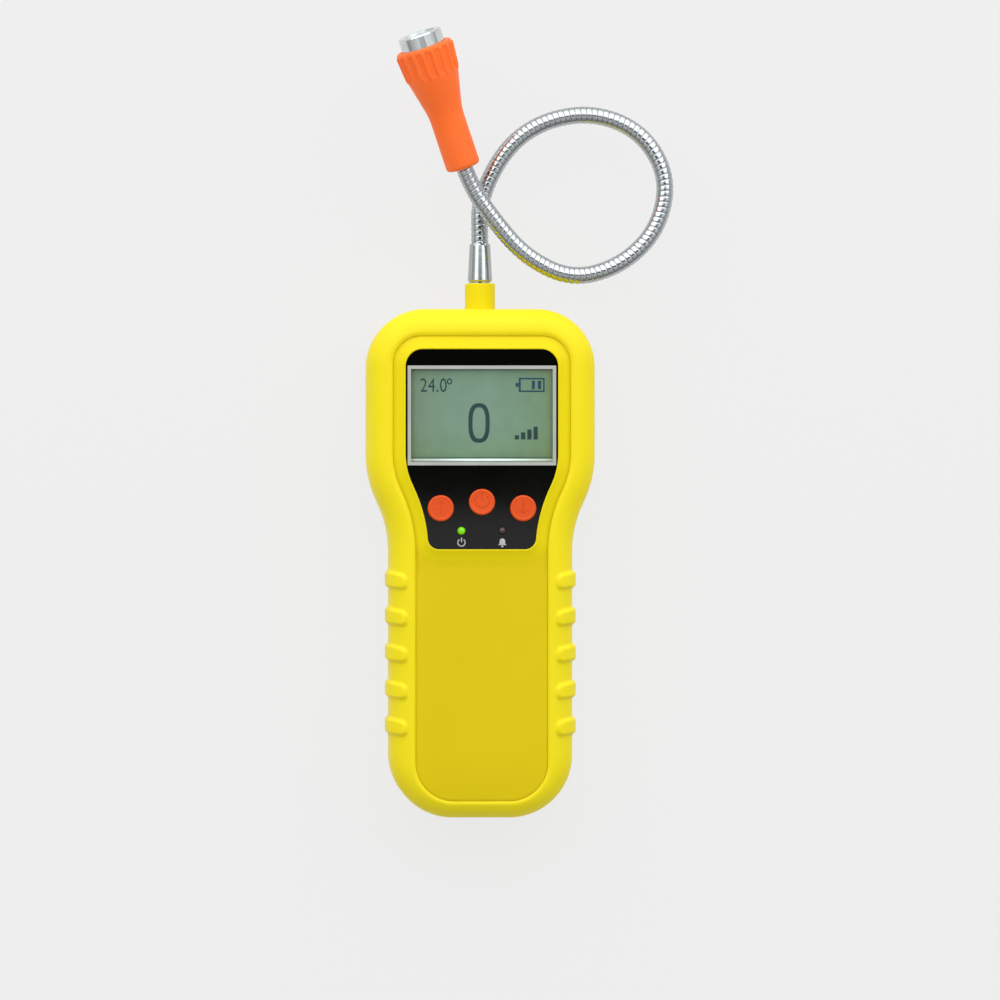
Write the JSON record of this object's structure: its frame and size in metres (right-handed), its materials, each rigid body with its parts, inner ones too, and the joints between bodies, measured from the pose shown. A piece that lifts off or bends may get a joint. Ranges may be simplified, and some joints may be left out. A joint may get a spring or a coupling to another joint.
{
  "type": "portable gas detector",
  "caption": "Handheld gas detector in a rubber boot, with a display, three keys, status lights and a sensor probe on a self-holding metal gooseneck.",
  "frame": {"origin": "middle of the boot's flat rear face, on which the handset lies", "axes": "+Z out of the display, +Y from the handset towards the gooseneck, +X to the right seen from the front"},
  "size_m": [0.1087, 0.2787, 0.0462],
  "materials": {
    "boot_rubber": "satin moulded rubber",
    "yellow_plastic": "fine moulded texture",
    "panel_black": "polished",
    "lcd_silver": "silver paint",
    "clear_window": "polished",
    "lcd_green": "reflective display",
    "white_plastic": "diffusing",
    "key_orange": "smooth silicone",
    "grip_orange": "smooth moulded",
    "led_green": "lit lens",
    "led_red": "unlit lens",
    "circuit_green": "solder mask",
    "black_plastic": "moulded",
    "seal_rubber": "matt",
    "screw_steel": "zinc plated",
    "contact_steel": "nickel plated",
    "cell_wrap": "printed-free sleeve",
    "chrome": "polished",
    "brass": "turned",
    "hose_steel": "polished interlocked strip",
    "lead_black": "extruded sheath",
    "mesh_steel": "sintered"
  },
  "bodies": {
    "handset": {"boot": "boot_rubber", "front_shell": "yellow_plastic", "rear_shell": "yellow_plastic", "battery_door": "yellow_plastic", "door_screws": "screw_steel", "battery_cells": "cell_wrap", "battery_contacts": "contact_steel", "case_seal": "seal_rubber", "case_screws": "screw_steel", "board_screws": "screw_steel", "main_board": "circuit_green", "key_switches": "black_plastic", "sounder": "black_plastic", "vibration_motor": "contact_steel", "board_chips": "black_plastic", "display_panel": "panel_black", "lcd_frame": "lcd_silver", "lcd_window": "clear_window", "lcd_glass": "lcd_green", "backlight": "white_plastic", "led_power": "led_green", "led_alarm": "led_red", "ferrule": "chrome", "neck_nut": "brass", "handset_lead": "lead_black", "lead_plug": "white_plastic", "gooseneck_span_1": "hose_steel", "lead_core_1": "lead_black"},
    "hose_root": {"gooseneck_span_2": "hose_steel", "lead_core_2": "lead_black"},
    "hose_rise": {"gooseneck_span_3": "hose_steel", "lead_core_3": "lead_black"},
    "hose_crown": {"gooseneck_span_4": "hose_steel", "lead_core_4": "lead_black"},
    "hose_side": {"gooseneck_span_5": "hose_steel", "lead_core_5": "lead_black"},
    "hose_foot": {"gooseneck_span_6": "hose_steel", "lead_core_6": "lead_black"},
    "hose_return": {"gooseneck_span_7": "hose_steel", "lead_core_7": "lead_black"},
    "probe": {"probe_grip": "grip_orange", "sensor_cap": "chrome", "sensor_mesh": "mesh_steel", "gas_sensor": "contact_steel", "sensor_board": "circuit_green", "sensor_seal": "seal_rubber", "hose_crimp": "brass", "probe_lead": "lead_black", "gooseneck_span_8": "hose_steel", "lead_core_8": "lead_black"},
    "key_up": {"button_up": "key_orange", "key_plunger_up": "black_plastic"},
    "key_power": {"button_power": "key_orange", "key_plunger_power": "black_plastic"},
    "key_down": {"button_down": "key_orange", "key_plunger_down": "black_plastic"}
  },
  "joints": [
    {"name": "root_nod", "type": "hinge", "parent": "handset", "child": "hose_root", "pos_m": [-0.00015, 0.12155, 0.018], "axis": [1, 0, 0], "range_deg": [-8, 40]},
    {"name": "rise_sway", "type": "hinge", "parent": "hose_root", "child": "hose_rise", "pos_m": [0.0161, 0.1521, 0.0184], "axis": [-0.0195, -0.0136, 0.9997], "range_deg": [-8, 12]},
    {"name": "crown_lift", "type": "hinge", "parent": "hose_rise", "child": "hose_crown", "pos_m": [0.0493, 0.1559, 0.0194], "axis": [0.3899, 0.9208, 0], "range_deg": [-1, 15]},
    {"name": "side_sway", "type": "hinge", "parent": "hose_crown", "child": "hose_side", "pos_m": [0.06485, 0.12715, 0.0208], "axis": [0.0087, 0.0424, 0.9991], "range_deg": [-12, 4]},
    {"name": "foot_lift", "type": "hinge", "parent": "hose_side", "child": "hose_foot", "pos_m": [0.04155, 0.10275, 0.02285], "axis": [-0.27, 0.9629, 0], "range_deg": [-2, 20]},
    {"name": "return_sway", "type": "hinge", "parent": "hose_foot", "child": "hose_return", "pos_m": [0.01005, 0.11475, 0.02595], "axis": [0.0693, -0.0799, 0.9944], "range_deg": [-10, 15]},
    {"name": "probe_nod", "type": "hinge", "parent": "hose_return", "child": "probe", "pos_m": [-0.00003, 0.1277, 0.02775], "axis": [0.8264, 0.5631, 0], "range_deg": [-6, 40]},
    {"name": "press_up", "type": "slide", "parent": "handset", "child": "key_up", "axis": [0, 0, -1], "range_m": [0, 0.0006], "stiffness_N_per_m": 2500, "springref_m": -0.0002},
    {"name": "press_power", "type": "slide", "parent": "handset", "child": "key_power", "axis": [0, 0, -1], "range_m": [0, 0.0006], "stiffness_N_per_m": 2500, "springref_m": -0.0002},
    {"name": "press_down", "type": "slide", "parent": "handset", "child": "key_down", "axis": [0, 0, -1], "range_m": [0, 0.0006], "stiffness_N_per_m": 2500, "springref_m": -0.0002}
  ]
}
